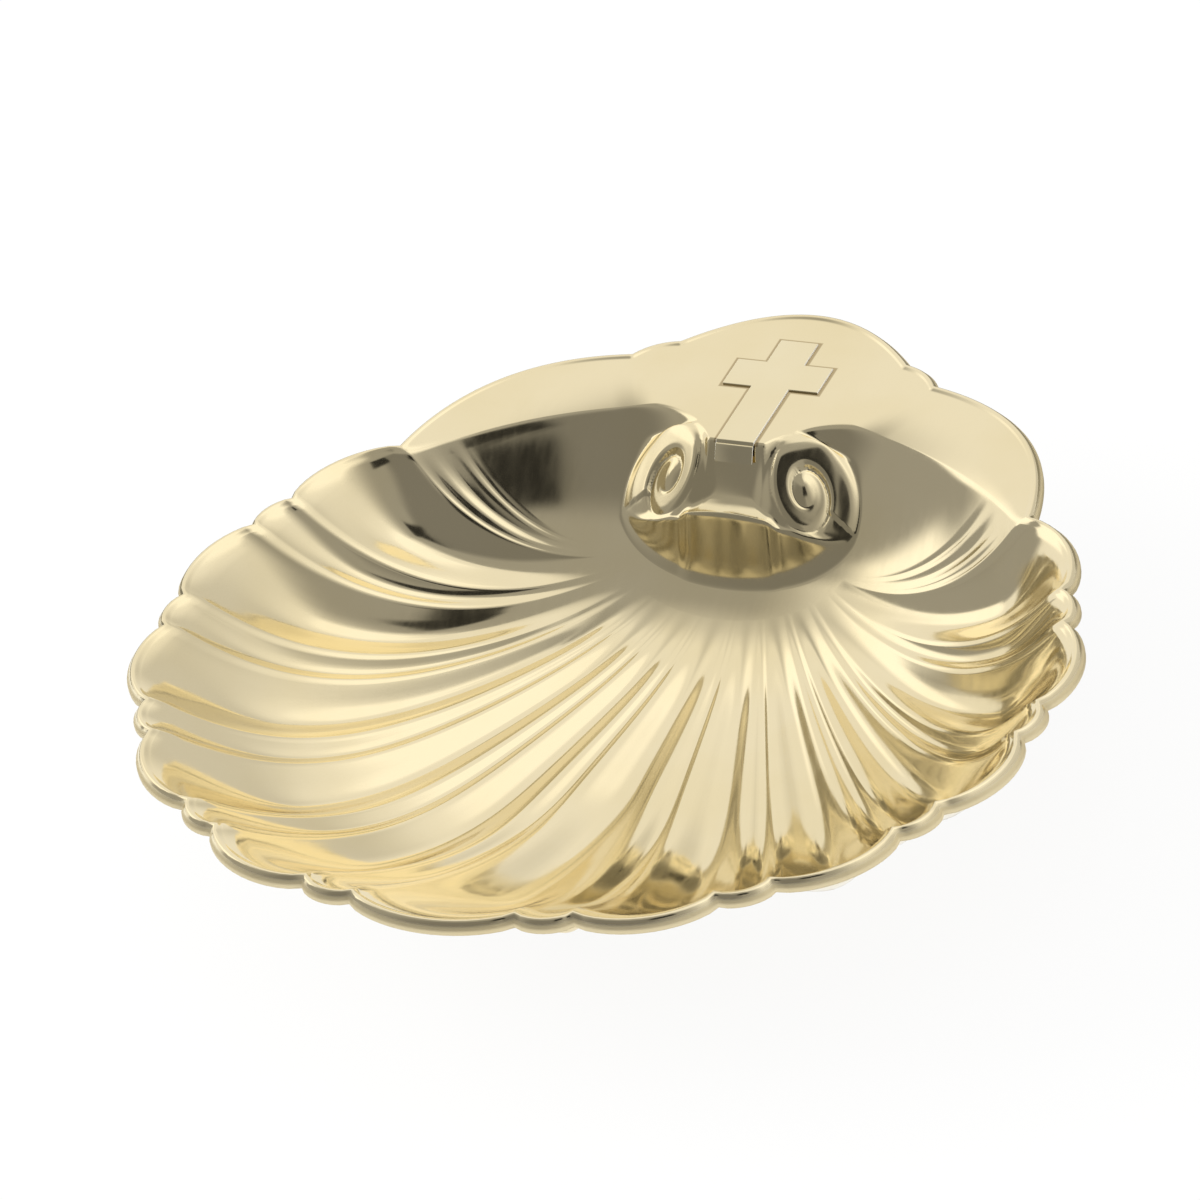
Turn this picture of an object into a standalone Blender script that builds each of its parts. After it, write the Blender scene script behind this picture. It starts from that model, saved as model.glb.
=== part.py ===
"""Baptismal shell: a pressed brass scallop dish with a flat flange, an applied cross and three ball feet."""

import math

import bmesh
import bpy
import numpy as np
from mathutils.bvhtree import BVHTree

MM = 0.001

# Sheet: one pressed piece, and the gap that stands in for solder
SHEET = 0.9
HEAD_WALL_THINNING = 0.6
SOLDER_GAP = 0.3

# Bowl: an oval lip level with the flange, deepest in the middle, steep behind and easy at the front
BOWL_CENTRE_Y = -9.8
LIP_HALF_WIDTH = 65.7
LIP_FRONT = 55.8
LIP_BACK = 57.6
LIP_SQUARENESS = 2.0
BOWL_DEPTH = 23.0
BOWL_CLEARANCE = 7.2
FLANGE_HEIGHT = BOWL_CLEARANCE + BOWL_DEPTH
SIDE_WALL_POWER = 3.8
FRONT_WALL_POWER = 1.9
LIP_ROUND = 1.4

# Rim: a narrow bead outside the lip, rounded over into a short skirt
RIM_BAND = 2.4
WIDE_LOBE_RISE = 3.0
NARROW_LOBE_RISE = 1.3
EDGE_FLAT = 0.2
EDGE_ROUND = RIM_BAND - EDGE_FLAT
EDGE_DROP = 1.3
SKIRT = 0.3

# Flutes: angles taken up round the lip, counted from the front to the flange
MIDDLE_FLUTE = 21.4
WIDE_FLUTE = 17.1
NARROW_FLUTE = 7.1
FLUTE_PAIRS_PER_SIDE = 5
LAST_NARROW_FLUTE = 2.3
LAST_WIDE_FLUTE = 4.0
FLUTE_HOLLOW = 0.16
FLUTE_SWEEP = 0.40
FLUTE_START = 0.18
FLUTE_FINISH = 0.14

# Hub: the oval in front of the hinge where the flutes begin
HUB_CENTRE_Y = 33.0
HUB_HALF_WIDTH = 19.5
HUB_HALF_LENGTH = 10.0
HUB_FAN_ANGLE = 75.0

# Flange: dips in its outline, right half, and how far each lobe between them bulges
FLANGE_SIDE_DIP = (24.7, 57.3)
FLANGE_BACK_DIP = (18.7, 61.5)
FLANGE_SIDE_ANGLE = 163.0
FLANGE_BACK_ANGLE = 170.5
SIDE_LOBE_BULGE = 6.5
SMALL_LOBE_BULGE = 0.8
BACK_LOBE_BULGE = 9.5

# Tongue: the flange runs forward between the volutes and dips into a saddle
NECK_Y = 39.0
NECK_HALF_WIDTH = 4.5
NECK_SPREAD = 5.0
EAR_SETBACK = 7.3
SADDLE_FRONT_Y = 32.0
SADDLE_DROP = 8.4
SADDLE_ARCH = 6.3
SADDLE_HALF_WIDTH = 6.0
SADDLE_FADE = 6.0
EDGE_SLOPE = 1.8

# Hinge block under the volutes
BLOCK_CENTRE_Y = 38.5
BLOCK_HALF_WIDTH = 18.7
BLOCK_HALF_LENGTH = 6.8
BLOCK_WALL_SLOPE = 3.2
BLOCK_SQUARENESS = 3.0
BLOCK_FOOT_ROUND = 3.0
BLOCK_EDGE_ROUND = 0.7

# Volutes: a coil that winds in from the hinge block's corner to a knob
VOLUTE_X = 11.0
VOLUTE_Y = 37.0
VOLUTE_DEPTH = 6.7
VOLUTE_OUT_TILT = 0.58
VOLUTE_BACK_TILT = 0.60
VOLUTE_RADIUS = 8.4
VOLUTE_DOME = 1.6
VOLUTE_START_ANGLE = -15.0
COIL_SHRINK = 0.40
COIL_RELIEF = 2.6
COIL_RUN_IN = 0.2
KNOB_RADIUS = 2.6
KNOB_RISE = 2.2
KNOB_BLEND = 0.5
VOLUTE_ROUND = 1.6

# Cross: a flat plate on the flange, its foot level with the neck
CROSS_BAR = 6.0
CROSS_HEIGHT = 24.4
CROSS_SPAN = 15.3
CROSS_ARM_DROP = 8.4
CROSS_PLATE = 0.5
CROSS_EDGE = 0.1

# Feet: turned balls with a small flat below and a short neck above
FOOT_BALL = 7.0
FOOT_FLAT = 3.2
FOOT_NECK = 3.8
FRONT_FOOT_ALONG = 0.63
BACK_FOOT_ALONG = 0.40
BACK_FOOT_FLUTE = 4

# Mesh: columns from the front round to the back, rows from the hub outward
MIDDLE_COLUMN_COUNT = 3
WIDE_COLUMN_COUNT = 4
NARROW_COLUMN_COUNT = 2
LAST_COLUMN_COUNT = 1
EAR_COLUMN_COUNT = 17
SMALL_LOBE_COLUMN_COUNT = 7
BACK_COLUMN_COUNT = 7
HUB_FIRST_ROW = 0.18
HUB_ROW_COUNT = 17
FLUTE_ROW_COUNT = 6
FLUTE_ROW_BIAS = 0.35
EDGE_ROW_COUNT = 3
UNDERSIDE_EVERY_COUNT = 2


def smooth_max(first, second, radius):
    """The greater of two heights, with a fillet of about this radius where they cross."""
    blend = np.clip(radius - np.abs(first - second), 0.0, None)
    return np.maximum(first, second) + blend * blend / (4.0 * radius)


def smooth_step(value):
    value = np.clip(value, 0.0, 1.0)
    return value * value * (3.0 - 2.0 * value)


def fan_columns():
    """Angle, place across its flute and flute width of every column, from the front to the back."""
    flutes = [(MIDDLE_FLUTE, MIDDLE_COLUMN_COUNT)]
    for _ in range(FLUTE_PAIRS_PER_SIDE):
        flutes.append((NARROW_FLUTE, NARROW_COLUMN_COUNT))
        flutes.append((WIDE_FLUTE, WIDE_COLUMN_COUNT))
    flutes.append((LAST_NARROW_FLUTE, LAST_COLUMN_COUNT))
    flutes.append((LAST_WIDE_FLUTE, LAST_COLUMN_COUNT))
    flutes.append((LAST_NARROW_FLUTE, LAST_COLUMN_COUNT))
    columns = []
    start = -MIDDLE_FLUTE / 2
    for number, (width, count) in enumerate(flutes):
        first = 0.5 if number == 0 else 0.0
        for place in np.linspace(first, 1.0, count + 1)[:-1]:
            columns.append((start + width * place, place, width))
        start += width
    stretches = (
        (FLANGE_SIDE_ANGLE, EAR_COLUMN_COUNT),
        (FLANGE_BACK_ANGLE, SMALL_LOBE_COLUMN_COUNT),
        (180.0, BACK_COLUMN_COUNT),
    )
    for end, count in stretches:
        for angle in np.linspace(start, end, count + 1)[:-1]:
            columns.append((angle, 0.0, 0.0))
        start = end
    columns.append((180.0, 0.0, 0.0))
    return np.array(columns)


def junction_angle():
    """Where the scalloped rim ends at the flange."""
    return MIDDLE_FLUTE / 2 + FLUTE_PAIRS_PER_SIDE * (NARROW_FLUTE + WIDE_FLUTE)


def fan_end():
    """Where the last flute ends at the smooth ear beside the volute."""
    return junction_angle() + LAST_WIDE_FLUTE + 2 * LAST_NARROW_FLUTE


def oval(angle, side, front, back):
    """A point of a squarish oval round the bowl's centre; the angle is counted from the front."""
    power = 2.0 / LIP_SQUARENESS
    across = np.sin(np.radians(angle))
    along = -np.cos(np.radians(angle))
    reach = np.where(along < 0, front, back)
    x = side * np.sign(across) * np.abs(across) ** power
    y = BOWL_CENTRE_Y + reach * np.sign(along) * np.abs(along) ** power
    return np.stack([x, y], -1)


def lobe(place):
    """How far a lobe stands out across its width: nothing at its ends, a rounded middle."""
    return np.clip(4.0 * place * (1.0 - place), 0.0, None) ** 0.8


def lip_and_edge(columns):
    """Plan points of the bowl's lip and of the sheet's outer edge."""
    angle, place, width = columns.T
    lip = oval(angle, LIP_HALF_WIDTH, LIP_FRONT, LIP_BACK)
    centre = np.array([0.0, BOWL_CENTRE_Y])
    outward = lip - centre
    outward /= np.linalg.norm(outward, axis=1, keepdims=True)
    rise = np.where(width > NARROW_FLUTE, WIDE_LOBE_RISE, NARROW_LOBE_RISE)
    on_rim = angle < junction_angle()
    rise = np.where(on_rim, rise, 0.0) * lobe(place)
    edge = lip + outward * (RIM_BAND + rise)[:, None]
    lip = lip + outward * rise[:, None]
    junction = oval(np.array([junction_angle()]), LIP_HALF_WIDTH, LIP_FRONT, LIP_BACK)[0]
    away = (junction - centre) / np.linalg.norm(junction - centre)
    junction = junction + away * RIM_BAND
    side = np.array(FLANGE_SIDE_DIP)
    back = np.array(FLANGE_BACK_DIP)
    mirrored = back * (-1, 1)
    stretches = (
        (junction_angle(), FLANGE_SIDE_ANGLE, junction, side, SIDE_LOBE_BULGE, 1.0),
        (FLANGE_SIDE_ANGLE, FLANGE_BACK_ANGLE, side, back, SMALL_LOBE_BULGE, 1.0),
        (FLANGE_BACK_ANGLE, 180.0, back, mirrored, BACK_LOBE_BULGE, 0.5),
    )
    for begin, end, start, finish, bulge, part in stretches:
        here = (angle >= begin - 1e-6) & (angle <= end + 1e-6)
        along = part * np.clip((angle - begin) / (end - begin), 0.0, 1.0)
        chord = finish - start
        normal = np.array([chord[1], -chord[0]]) / np.linalg.norm(chord)
        bulged = start + along[:, None] * chord + (4.0 * along * (1.0 - along) * bulge)[:, None] * normal
        edge = np.where(here[:, None], bulged, edge)
    edge[:, 0] = np.where(angle >= 180.0, 0.0, edge[:, 0])
    return lip, edge


def hub_points(columns):
    """Where each column leaves the hub and its flute begins."""
    angle = columns[:, 0]
    fan = HUB_FAN_ANGLE * angle / fan_end()
    rest = HUB_FAN_ANGLE + (180.0 - HUB_FAN_ANGLE) * (angle - fan_end()) / (180.0 - fan_end())
    turn = np.radians(np.where(angle < fan_end(), fan, rest))
    return np.stack([HUB_HALF_WIDTH * np.sin(turn), HUB_CENTRE_Y - HUB_HALF_LENGTH * np.cos(turn)], -1)


def bowl_height(x, y, lip, share):
    """Height of the unfluted dish over the flange's level; at full share it is zero at each column's own lip."""
    def ratio(px, py):
        reach = np.where(py < BOWL_CENTRE_Y, LIP_FRONT, LIP_BACK)
        across = np.abs(px / LIP_HALF_WIDTH) ** LIP_SQUARENESS
        along = np.abs((py - BOWL_CENTRE_Y) / reach) ** LIP_SQUARENESS
        return (across + along) ** (1.0 / LIP_SQUARENESS)

    own = 1.0 + share * (ratio(lip[:, 0], lip[:, 1]) - 1.0)
    here = ratio(x, y) / own
    distance = np.hypot(x, y - BOWL_CENTRE_Y) + 1e-9
    forward = np.clip((BOWL_CENTRE_Y - y) / distance, 0.0, 1.0)
    power = SIDE_WALL_POWER + (FRONT_WALL_POWER - SIDE_WALL_POWER) * forward ** 2
    return -BOWL_DEPTH * (1.0 - here ** power)


def block_wall(x, y):
    """The steep wall round the hinge block, as a height that falls away outside its outline."""
    power = BLOCK_SQUARENESS
    across = np.abs(x) / BLOCK_HALF_WIDTH + 1e-6
    along = np.abs(y - BLOCK_CENTRE_Y) / BLOCK_HALF_LENGTH + 1e-6
    ratio = (across ** power + along ** power) ** (1.0 / power)
    sideways = across ** (power - 1.0) / BLOCK_HALF_WIDTH
    lengthways = along ** (power - 1.0) / BLOCK_HALF_LENGTH
    outside = (ratio - 1.0) * ratio ** (power - 1.0) / np.hypot(sideways, lengthways)
    return -SADDLE_DROP - BLOCK_WALL_SLOPE * outside


def volute_turn(x, y):
    """Distance from the volute's middle, and there the inner and outer limit of the coil's first turn."""
    across = np.abs(x) - VOLUTE_X
    along = y - VOLUTE_Y
    radius = np.hypot(across, along) + 1e-6
    turn = (np.degrees(np.arctan2(along, across)) - VOLUTE_START_ANGLE) % 360.0 / 360.0
    spiral = VOLUTE_RADIUS * COIL_SHRINK ** turn
    run_in = smooth_step((turn - 1.0 + COIL_RUN_IN) / COIL_RUN_IN)
    return radius, spiral, spiral * COIL_SHRINK ** -run_in


def volute_height(x, y, chased):
    """The coil at either end of the hinge block: a tilted snail with a knob in its middle, or its plain bed."""
    radius, spiral, limit = volute_turn(x, y)
    wound = np.clip(np.log(radius / spiral) / math.log(COIL_SHRINK), 0.0, None)
    size = spiral * COIL_SHRINK ** np.floor(wound) / VOLUTE_RADIUS
    place = wound % 1.0
    coil = size * 4.0 * place * (1.0 - place)
    starting = (radius > spiral) & (radius < limit)
    width = np.where(starting, limit - spiral, 1.0)
    place = (limit - radius) / width
    coil = np.where(starting, 4.0 * place * (1.0 - place) * width / VOLUTE_RADIUS, coil)
    knob = KNOB_RISE * (1.0 - (radius / KNOB_RADIUS) ** 2)
    relief = smooth_max(COIL_RELIEF * coil, knob, KNOB_BLEND) if chased else 0.0
    plane = -VOLUTE_DEPTH - VOLUTE_OUT_TILT * (np.abs(x) - VOLUTE_X) + VOLUTE_BACK_TILT * (y - VOLUTE_Y)
    dome = VOLUTE_DOME * (radius / VOLUTE_RADIUS) ** 2
    return plane + relief - dome - EDGE_SLOPE * np.clip(radius - limit, 0.0, None)


def tongue_height(x, y):
    """The flange's own edge between the ears, and the saddle that runs down from it between the volutes."""
    beside = np.clip(np.abs(x) - NECK_HALF_WIDTH, 0.0, None)
    edge = NECK_Y + EAR_SETBACK * (1.0 - np.exp(-beside / NECK_SPREAD))
    run = np.clip((y - SADDLE_FRONT_Y) / (edge - SADDLE_FRONT_Y), 0.0, None)
    saddle = -(SADDLE_DROP + SADDLE_ARCH * (x / BLOCK_HALF_WIDTH) ** 2) * (1.0 - run)
    saddle = saddle - BLOCK_WALL_SLOPE * np.clip(SADDLE_FRONT_Y - y, 0.0, None)
    cliff = EDGE_SLOPE * (y - edge)
    share = smooth_step((np.abs(x) - SADDLE_HALF_WIDTH) / SADDLE_FADE)
    radius, _, limit = volute_turn(x, y)
    groove = EDGE_SLOPE * np.clip(limit - radius, 0.0, None)
    return (1.0 - share) * saddle + share * cliff - groove


def head_height(x, y, chased):
    """The hinge block with its arched top, the volutes on it and the tongue between them."""
    wall = block_wall(x, y)
    top = -SADDLE_DROP - SADDLE_ARCH * (x / BLOCK_HALF_WIDTH) ** 2
    top = smooth_max(top, volute_height(x, y, chased), VOLUTE_ROUND)
    head = -smooth_max(-top, -wall, BLOCK_EDGE_ROUND)
    return smooth_max(head, tongue_height(x, y), VOLUTE_ROUND)


def sheet_point(columns, lip, edge, hub, section, along, chased=True):
    """One row of points: in the hub, along the flutes, over the edge or in the fold below the edge."""
    angle, place, width = columns.T
    start = np.array([0.0, HUB_CENTRE_Y])
    drop = np.zeros(len(columns))
    flute = np.zeros(len(columns))
    if section == "hub":
        plan = start + (hub - start) * along
    elif section == "flute":
        reach = np.linalg.norm(lip - hub, axis=1, keepdims=True)
        swing = np.clip(angle / fan_end(), 0.0, 1.0) * (angle <= fan_end())
        easing = 1.0 - smooth_step((angle - fan_end()) / (180.0 - fan_end()))
        swing = np.where(angle <= fan_end(), swing, easing)
        bend = (hub + lip) / 2 - np.array([0.0, 1.0]) * FLUTE_SWEEP * swing[:, None] * reach / 2
        plan = (1 - along) ** 2 * hub + 2 * along * (1 - along) * bend + along ** 2 * lip
        span = np.radians(width) * (HUB_HALF_LENGTH + (LIP_HALF_WIDTH - HUB_HALF_LENGTH) * along)
        fade = smooth_step(along / FLUTE_START) * smooth_step((1.0 - along) / FLUTE_FINISH)
        flute = FLUTE_HOLLOW * span * np.sin(math.pi * place) ** 2 * fade
    else:
        chord = edge - lip
        length = np.linalg.norm(chord, axis=1)
        turn = np.clip(along, 0.0, 1.0) * math.pi / 2
        reach = length - EDGE_ROUND * (1.0 - math.sin(turn))
        plan = lip + chord * (reach / length)[:, None]
        drop = drop + EDGE_DROP * (1.0 - math.cos(turn)) + SKIRT * max(along - 1.0, 0.0)
    if section == "fold":
        reach = length - SHEET - (EDGE_ROUND - 2.0 * SHEET) * (1.0 - math.sin(turn))
        plan = lip + chord * (reach / length)[:, None]
        drop = np.full(len(columns), SHEET + (EDGE_DROP + SKIRT - SHEET) * (1.0 - math.cos(turn)))
    x, y = plan.T
    share = {"hub": 0.0, "flute": along, "edge": 1.0, "fold": 1.0}[section]
    height = bowl_height(x, y, lip, share) - flute
    height = smooth_max(height, head_height(x, y, chased), BLOCK_FOOT_ROUND)
    height = -smooth_max(-height, np.zeros(len(columns)), LIP_ROUND)
    return np.stack([x, y, FLANGE_HEIGHT + height - drop], -1)


def sheet_rows(steps, chased):
    """Points of the right half of the sheet, one row for each step, from the front column to the back."""
    columns = fan_columns()
    lip, edge = lip_and_edge(columns)
    hub = hub_points(columns)
    grid = np.array([sheet_point(columns, lip, edge, hub, *step, chased) for step in steps])
    grid[:, 0, 0] = 0.0
    grid[:, -1, 0] = 0.0
    return grid


def outward_normals(grid):
    """Unit normals of a grid of points, upward in the bowl; the middle columns stay in the mirror's plane."""
    across = np.gradient(grid, axis=1)
    along = np.gradient(grid, axis=0)
    normal = np.cross(along, across)
    normal[0] = (0.0, 0.0, 1.0)
    normal[:, (0, -1), 0] = 0.0
    size = np.linalg.norm(normal, axis=2, keepdims=True)
    return normal / np.maximum(size, 1e-12)


def wrapped_grid():
    """The upper face from the hub to the rim's edge, then the underside back to the hub."""
    hub = [("hub", 0.0)]
    hub += [("hub", along) for along in np.linspace(HUB_FIRST_ROW, 1.0, HUB_ROW_COUNT)]
    evenly = np.linspace(0.0, 1.0, FLUTE_ROW_COUNT + 1)[1:]
    flutes = [("flute", along) for along in evenly * (1.0 + FLUTE_ROW_BIAS * (1.0 - evenly))]
    over = [("edge", along) for along in np.linspace(0.0, 1.0, EDGE_ROW_COUNT + 1)]
    over += [("edge", 2.0)]
    below = [("fold", along) for along in np.linspace(0.0, 1.0, EDGE_ROW_COUNT + 1)]
    upper = sheet_rows(hub + flutes + over, True)
    plain = sheet_rows(hub + flutes + over, False)
    normal = outward_normals(plain)
    head = slice(0, len(hub))
    bowl = slice(len(hub), len(hub) + len(flutes))
    under_head = plain[head].copy()
    under_head[:, :, 2] -= SHEET / np.maximum(normal[head, :, 2], HEAD_WALL_THINNING)
    under_bowl = plain[bowl] - SHEET * normal[bowl]
    under_rim = sheet_rows(below, False)
    under = np.concatenate([under_head[::UNDERSIDE_EVERY_COUNT], under_bowl, under_rim])
    return np.concatenate([upper, under[::-1]])


def brass(name, colour, roughness):
    material = bpy.data.materials.new(name)
    material.use_nodes = True
    shader = material.node_tree.nodes["Principled BSDF"]
    shader.inputs["Base Color"].default_value = (*colour, 1.0)
    shader.inputs["Metallic"].default_value = 1.0
    shader.inputs["Roughness"].default_value = roughness
    material.diffuse_color = (*colour, 1.0)
    return material


def keep(obj, name, material, collection):
    """Names the object, gives it its material and moves it to the collection."""
    obj.name = name
    obj.data.name = name
    obj.data.materials.clear()
    obj.data.materials.append(material)
    for holder in list(obj.users_collection):
        holder.objects.unlink(obj)
    collection.objects.link(obj)
    return obj


def make_shell():
    """The pressed sheet: half a grid wrapped over both its faces, then mirrored."""
    grid = wrapped_grid() * MM
    rows, count = grid.shape[:2]
    bpy.ops.mesh.primitive_grid_add(x_subdivisions=count - 1, y_subdivisions=rows - 1, size=1.0)
    shell = bpy.context.object
    for vertex in shell.data.vertices:
        column = count - 1 - round((vertex.co.x + 0.5) * (count - 1))
        row = round((vertex.co.y + 0.5) * (rows - 1))
        vertex.co = grid[row, column]
    mesh = bmesh.new()
    mesh.from_mesh(shell.data)
    bmesh.ops.remove_doubles(mesh, verts=mesh.verts, dist=1e-6)
    mesh.to_mesh(shell.data)
    mesh.free()
    mirror = shell.modifiers.new("Left half", "MIRROR")
    mirror.merge_threshold = 0.00001
    shell.data.polygons.foreach_set("use_smooth", [True] * len(shell.data.polygons))
    return shell


def make_cross():
    """The flat plate, cut to a Latin cross and soldered on the flange with its foot at the neck."""
    half = CROSS_BAR / 2
    arm = CROSS_SPAN / 2
    top = CROSS_HEIGHT
    upper = CROSS_HEIGHT - CROSS_ARM_DROP + half
    lower = upper - CROSS_BAR
    right = [(half, 0.0), (half, lower), (arm, lower), (arm, upper), (half, upper), (half, top)]
    outline = right + [(-x, y) for x, y in reversed(right)]
    curve = bpy.data.curves.new("cross", "CURVE")
    curve.dimensions = "2D"
    curve.fill_mode = "BOTH"
    curve.extrude = (CROSS_PLATE / 2 - CROSS_EDGE) * MM
    curve.bevel_depth = CROSS_EDGE * MM
    curve.bevel_resolution = 0
    curve.offset = -CROSS_EDGE * MM
    spline = curve.splines.new("POLY")
    spline.points.add(len(outline) - 1)
    for point, (x, y) in zip(spline.points, outline):
        point.co = (x * MM, (NECK_Y + y) * MM, 0.0, 1.0)
    spline.use_cyclic_u = True
    cross = bpy.data.objects.new("cross", curve)
    bpy.context.scene.collection.objects.link(cross)
    cross.location.z = (FLANGE_HEIGHT + SOLDER_GAP + CROSS_PLATE / 2) * MM
    return cross


def foot_place(shell, flute, along):
    """Plan point in the middle of a wide flute, counted from the front one, 0, and the foot's height there."""
    if flute == 0:
        column = np.array([(0.0, 0.5, MIDDLE_FLUTE)])
    else:
        angle = MIDDLE_FLUTE / 2 + flute * (NARROW_FLUTE + WIDE_FLUTE) - WIDE_FLUTE / 2
        column = np.array([(angle, 0.5, WIDE_FLUTE)])
    lip, edge = lip_and_edge(column)
    x, y, _ = sheet_point(column, lip, edge, hub_points(column), "flute", along)[0]
    sheet = BVHTree.FromObject(shell, bpy.context.evaluated_depsgraph_get())
    lowest = FLANGE_HEIGHT
    for radius in np.linspace(0.0, FOOT_NECK / 2, 5):
        for turn in np.linspace(0.0, 2.0 * math.pi, 25):
            below = ((x + radius * math.cos(turn)) * MM, (y + radius * math.sin(turn)) * MM, 0.0)
            hit = sheet.ray_cast(below, (0.0, 0.0, 1.0))[0]
            lowest = min(lowest, hit.z / MM)
    return x, y, lowest - SOLDER_GAP


def make_foot(x, y, top):
    """A ball turned with a flat below and a neck up to the sheet."""
    radius = FOOT_BALL / 2
    centre = math.sqrt(radius ** 2 - (FOOT_FLAT / 2) ** 2)
    low = -math.asin(centre / radius)
    high = math.acos(FOOT_NECK / 2 / radius)
    profile = [(0.0, 0.0)]
    for angle in np.linspace(low, high, 9):
        profile.append((radius * math.cos(angle), centre + radius * math.sin(angle)))
    profile.append((FOOT_NECK / 2, top))
    profile.append((0.0, top))
    mesh = bpy.data.meshes.new("foot")
    points = [(px * MM, 0.0, pz * MM) for px, pz in profile]
    mesh.from_pydata(points, [(i, i + 1) for i in range(len(points) - 1)], [])
    foot = bpy.data.objects.new("foot", mesh)
    bpy.context.scene.collection.objects.link(foot)
    foot.location = (x * MM, y * MM, 0.0)
    turned = foot.modifiers.new("Turned", "SCREW")
    turned.steps = 24
    turned.render_steps = 24
    turned.use_merge_vertices = True
    turned.merge_threshold = 0.00001
    turned.use_normal_calculate = True
    return foot


for old in list(bpy.data.objects):
    bpy.data.objects.remove(old)
parts = bpy.data.collections.new("baptismal_shell")
bpy.context.scene.collection.children.link(parts)

gold = brass("polished_gold_plate", (0.80, 0.64, 0.30), 0.12)
cross_gold = brass("cross_gold_plate", (0.80, 0.64, 0.30), 0.16)
foot_gold = brass("foot_gold_plate", (0.78, 0.60, 0.26), 0.18)

shell = keep(make_shell(), "shell_dish", gold, parts)
keep(make_cross(), "cross_plate", cross_gold, parts)
front_x, front_y, front_top = foot_place(shell, 0, FRONT_FOOT_ALONG)
back_x, back_y, back_top = foot_place(shell, BACK_FOOT_FLUTE, BACK_FOOT_ALONG)
keep(make_foot(front_x, front_y, front_top), "ball_foot_front", foot_gold, parts)
keep(make_foot(back_x, back_y, back_top), "ball_foot_right", foot_gold, parts)
keep(make_foot(-back_x, back_y, back_top), "ball_foot_left", foot_gold, parts)
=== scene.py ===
import math

import bmesh
import bpy
import numpy as np
from mathutils import Matrix, Vector


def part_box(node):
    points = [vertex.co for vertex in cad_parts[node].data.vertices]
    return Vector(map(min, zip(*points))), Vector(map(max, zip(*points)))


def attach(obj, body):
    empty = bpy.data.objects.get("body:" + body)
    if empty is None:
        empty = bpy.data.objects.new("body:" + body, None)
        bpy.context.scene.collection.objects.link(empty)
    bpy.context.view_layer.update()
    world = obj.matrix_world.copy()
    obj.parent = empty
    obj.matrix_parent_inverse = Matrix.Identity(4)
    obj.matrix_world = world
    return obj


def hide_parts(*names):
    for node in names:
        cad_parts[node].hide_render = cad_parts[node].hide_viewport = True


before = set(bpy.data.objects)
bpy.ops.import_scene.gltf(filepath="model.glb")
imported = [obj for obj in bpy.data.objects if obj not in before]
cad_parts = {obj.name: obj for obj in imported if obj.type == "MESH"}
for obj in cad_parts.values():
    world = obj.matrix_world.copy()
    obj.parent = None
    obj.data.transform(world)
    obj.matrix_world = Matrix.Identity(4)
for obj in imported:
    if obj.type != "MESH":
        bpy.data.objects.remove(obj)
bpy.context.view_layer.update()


# Shell dish: one sheet of brass, pressed in a die into a fluted bowl with a lobed rim, a flat flange and a
# scrolled hinge, its rim turned down all round. The coils are chased sharper after pressing. The whole is
# plated pale gold and polished, least on the turned-down edge.
MM = 0.001
SHEET = 0.9
HEAD_WALL_THINNING = 0.6
FLANGE_HEIGHT = 30.2

BOWL_CENTRE_Y = -9.8
LIP_HALF_WIDTH = 65.7
LIP_FRONT = 55.8
LIP_BACK = 57.6
LIP_SQUARENESS = 2.0
BOWL_DEPTH = 23.0
SIDE_WALL_POWER = 3.8
FRONT_WALL_POWER = 1.9
LIP_ROUND = 1.8

RIM_BAND = 2.4
WIDE_LOBE_RISE = 2.7
NARROW_LOBE_RISE = 1.3
LOBE_FULLNESS = 0.8
EDGE_FLAT = 0.2
EDGE_ROUND = RIM_BAND - EDGE_FLAT
EDGE_DROP = 1.1
SKIRT = 0.5
SKIRT_STEPS = (1.5, 2.0)
BEAD_RISE = 0.45
BEAD_SHARE = 0.7

MIDDLE_FLUTE = 21.4
WIDE_FLUTE = 17.1
NARROW_FLUTE = 7.1
FLUTE_PAIRS_PER_SIDE = 5
LAST_NARROW_FLUTE = 2.3
LAST_WIDE_FLUTE = 4.0
FLUTE_HOLLOW = 0.16
FLUTE_SWEEP = 0.40
FLUTE_START = 0.18
LATE_FLUTE_START = 1.0
LATE_FLUTE_ANGLE = 70.0
FLUTE_FINISH = 0.26

HUB_CENTRE_Y = 33.0
HUB_HALF_WIDTH = 19.5
HUB_HALF_LENGTH = 10.0
HUB_FAN_ANGLE = 75.0

FLANGE_SIDE_DIP = (24.7, 57.3)
FLANGE_BACK_DIP = (18.7, 61.5)
FLANGE_SIDE_ANGLE = 163.0
FLANGE_BACK_ANGLE = 170.5
SIDE_LOBE_BULGE = 6.5
SMALL_LOBE_BULGE = 0.8
BACK_LOBE_BULGE = 9.5

NECK_Y = 39.0
NECK_HALF_WIDTH = 4.5
NECK_SPREAD = 5.0
EAR_SETBACK = 7.3
SADDLE_FRONT_Y = 32.0
SADDLE_DROP = 8.4
SADDLE_ARCH = 6.0
SADDLE_HALF_WIDTH = 6.0
SADDLE_FADE = 6.0
SADDLE_SAG = 2.0
SADDLE_ROUND = 3.0
EDGE_SLOPE = 1.8

BLOCK_CENTRE_Y = 38.5
BLOCK_HALF_WIDTH = 18.7
BLOCK_HALF_LENGTH = 6.8
BLOCK_WALL_SLOPE = 3.2
BLOCK_FRONT_SQUARENESS = 2.1
BLOCK_BACK_SQUARENESS = 3.2
BLOCK_FOOT_ROUND = 3.0
BLOCK_EDGE_ROUND = 0.7

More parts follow.
